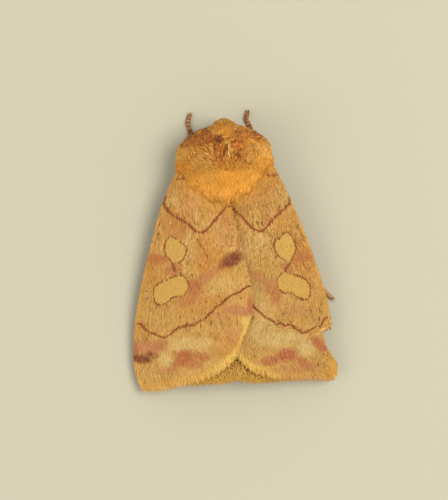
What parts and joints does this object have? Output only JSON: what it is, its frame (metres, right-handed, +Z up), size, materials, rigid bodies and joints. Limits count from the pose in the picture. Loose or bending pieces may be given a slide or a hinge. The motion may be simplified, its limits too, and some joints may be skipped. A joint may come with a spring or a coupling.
{
  "type": "aspen twoleaf tier moth",
  "caption": "Life-size still model of an aspen twoleaf tier moth at rest, its ochre wings with rust lines folded like a roof over the furry body, standing on its own feet.",
  "frame": {"origin": "middle of the model's box seen from above, at the level of the surface that the feet stand on", "axes": "+Z up, +Y towards the head along the body, +X to the moth's right"},
  "size_m": [0.017, 0.0228, 0.007],
  "materials": {
    "wing_scales": "matte ochre overlapping wing scales with rust-brown lines, two pale yellow spots and pinkish brown patches",
    "hindwing_scales": "matte shaded ochre-brown hindwing scales with a pale fringe",
    "golden_hair": "dense golden to orange-brown hair-like scales, pale yellow at the shoulders",
    "rust_hair": "short rusty orange hair-like scales",
    "leg_scales": "reddish brown flat-lying scales with pale rings on the feet",
    "eye": "dark brown glossy compound eye"
  },
  "bodies": {
    "root": {"head": "rust_hair", "eye_left": "eye", "eye_right": "eye", "palp_left": "rust_hair", "palp_right": "rust_hair", "antenna_left": "leg_scales", "antenna_right": "leg_scales", "thorax": "golden_hair", "abdomen": "golden_hair", "forewing_left": "wing_scales", "forewing_right": "wing_scales", "hindwing_left": "hindwing_scales", "hindwing_right": "hindwing_scales", "foreleg_left": "leg_scales", "foreleg_right": "leg_scales", "midleg_left": "leg_scales", "midleg_right": "leg_scales", "hindleg_left": "leg_scales", "hindleg_right": "leg_scales"}
  },
  "joints": []
}
